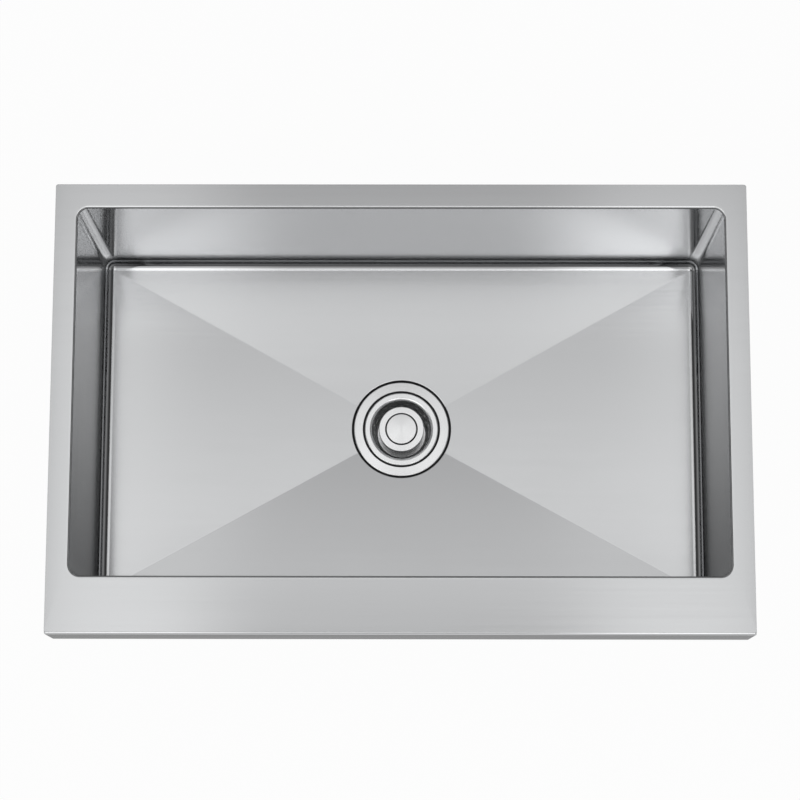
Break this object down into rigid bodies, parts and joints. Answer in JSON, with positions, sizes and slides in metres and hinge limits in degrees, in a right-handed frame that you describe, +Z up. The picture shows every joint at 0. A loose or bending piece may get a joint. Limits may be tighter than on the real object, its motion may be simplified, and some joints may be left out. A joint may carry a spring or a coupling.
{
  "type": "stainless steel kitchen sink",
  "caption": "Single-bowl stainless steel kitchen sink with a creased floor, a deep front deck with a short apron, and a lift-out basket strainer with a push-down stopper.",
  "frame": {"origin": "on the drain's axis, at the lower end of the tailpiece", "axes": "+X to the right along the sink, +Y to the back, +Z up; the drain's axis is Z"},
  "size_m": [0.762, 0.4965, 0.448],
  "materials": {
    "brushed_sheet": "satin brushed",
    "turned_steel": "fine turned",
    "tube_steel": "drawn",
    "stem_steel": "plain",
    "cast_nut": "nickel plated casting",
    "pad_rubber": "matt",
    "seal_rubber": "matt",
    "fibre": "fibre board",
    "nylon": "satin"
  },
  "bodies": {
    "sink": {"bowl": "brushed_sheet", "apron": "brushed_sheet", "floor_pad_left": "pad_rubber", "floor_pad_right": "pad_rubber", "end_pad_left": "pad_rubber", "end_pad_right": "pad_rubber", "wall_pad_front": "pad_rubber", "wall_pad_back": "pad_rubber", "strainer_body": "turned_steel", "flange_seal": "seal_rubber", "under_gasket": "seal_rubber", "fibre_washer": "fibre", "lock_nut": "cast_nut", "tailpiece_washer": "nylon", "tailpiece": "tube_steel", "coupling_nut": "cast_nut"},
    "strainer_basket": {"basket": "turned_steel", "stem_guide": "stem_steel", "detent_clip": "stem_steel"},
    "stopper": {"handle": "turned_steel", "knob": "turned_steel", "stem": "stem_steel", "upper_washer": "stem_steel", "stopper_seal": "seal_rubber", "lower_washer": "stem_steel", "stem_nut": "stem_steel"}
  },
  "joints": [
    {"name": "basket_lift", "type": "slide", "parent": "sink", "child": "strainer_basket", "axis": [0, 0, 1], "range_m": [0, 0.34]},
    {"name": "stopper_slide", "type": "slide", "parent": "strainer_basket", "child": "stopper", "axis": [0, 0, 1], "range_m": [0, 0.008]}
  ]
}
